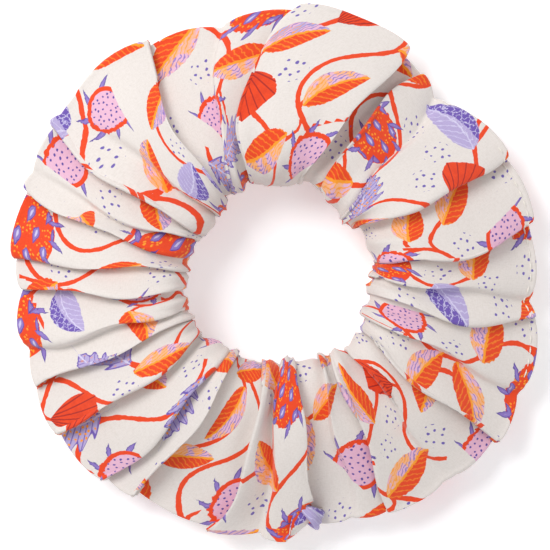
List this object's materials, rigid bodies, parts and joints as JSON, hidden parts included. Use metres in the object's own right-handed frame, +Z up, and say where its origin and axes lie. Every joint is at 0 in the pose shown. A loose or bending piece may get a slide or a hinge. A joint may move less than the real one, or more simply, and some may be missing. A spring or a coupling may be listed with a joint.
{
  "type": "scrunchie",
  "caption": "Gathered cloth hair scrunchie: a pleated ring of floral printed cotton tube round a hidden loop of flat elastic, lying flat.",
  "frame": {"origin": "under the centre of the ring, on the surface that it lies on", "axes": "+Z up along the axis of the hole; +X across the ring, the way it is stretched, towards the closing topstitch; +Y across the ring at right angles"},
  "size_m": [0.1262, 0.1306, 0.0249],
  "materials": {
    "printed_cotton": "matt plain-woven cotton, cream ground with an orange-red, lilac and pink floral print",
    "braided_elastic": "matt white braid over rubber cores",
    "thread": "cream spun polyester sewing thread, slight sheen"
  },
  "bodies": {
    "left_half": {"cover_left": "printed_cotton", "elastic_left": "braided_elastic", "long_seam_left": "thread"},
    "right_half": {"cover_right": "printed_cotton", "elastic_upper_end": "braided_elastic", "elastic_lower_end": "braided_elastic", "elastic_tack": "thread", "long_seam_upper": "thread", "long_seam_lower": "thread", "end_seam": "thread", "closing_stitch": "thread"}
  },
  "joints": [
    {"name": "ring_stretch", "type": "slide", "parent": "left_half", "child": "right_half", "axis": [1, 0, 0], "range_m": [0, 0.07], "stiffness_N_per_m": 130}
  ]
}
